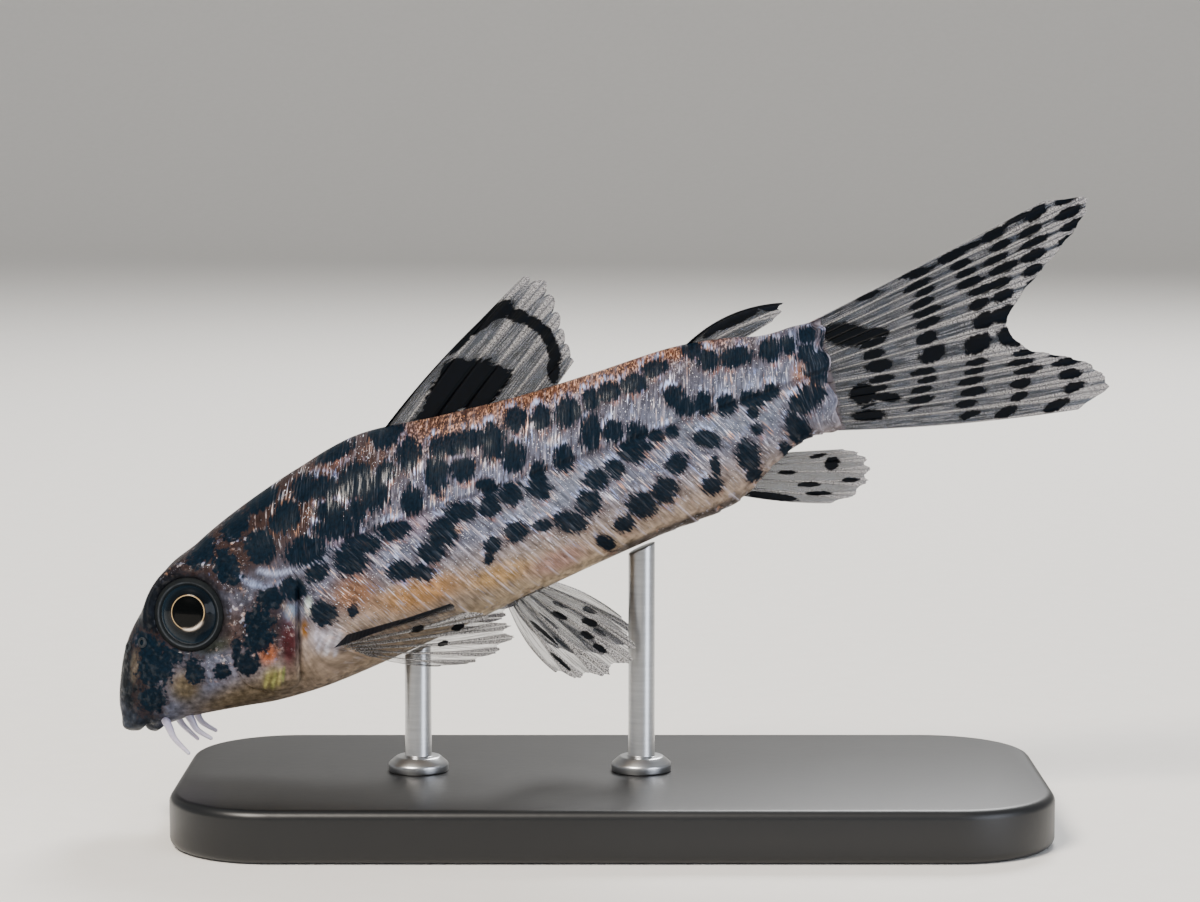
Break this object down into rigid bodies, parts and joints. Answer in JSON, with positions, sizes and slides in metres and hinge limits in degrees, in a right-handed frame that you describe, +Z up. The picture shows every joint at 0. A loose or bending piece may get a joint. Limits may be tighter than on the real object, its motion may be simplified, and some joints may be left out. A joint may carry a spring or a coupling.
{
  "type": "corydoras catfish display model",
  "caption": "Life-size still model of a small spotted armoured catfish swimming nose down, held by rods on a flat display base.",
  "frame": {"origin": "centre of the underside of the stand's base, which is also the middle of the whole length", "axes": "+X towards the tail fin, +Y towards the fish's right side, +Z up"},
  "size_m": [0.0376, 0.015, 0.0239],
  "materials": {
    "skin": "wet-looking, silvery, with dark spots",
    "fin": "thin and see-through, with dark spots on the rays",
    "barbel": "soft satin",
    "eye": "high gloss with a thin gold ring",
    "plinth": "satin black",
    "rod": "fine brushed"
  },
  "bodies": {
    "root": {"head": "skin", "gill_cover_left": "skin", "gill_cover_right": "skin", "trunk": "skin", "tail": "skin", "eye_left": "eye", "eye_right": "eye", "barbel_corner_left": "barbel", "barbel_corner_right": "barbel", "barbel_chin_left": "barbel", "barbel_chin_right": "barbel", "dorsal_fin": "fin", "adipose_fin": "fin", "anal_fin": "fin", "caudal_fin_upper": "fin", "caudal_fin_lower": "fin", "pectoral_fin_left": "fin", "pectoral_fin_right": "fin", "pelvic_fin_left": "fin", "pelvic_fin_right": "fin", "stand_base": "plinth", "stand_rod_front": "rod", "stand_rod_rear": "rod"}
  },
  "joints": []
}
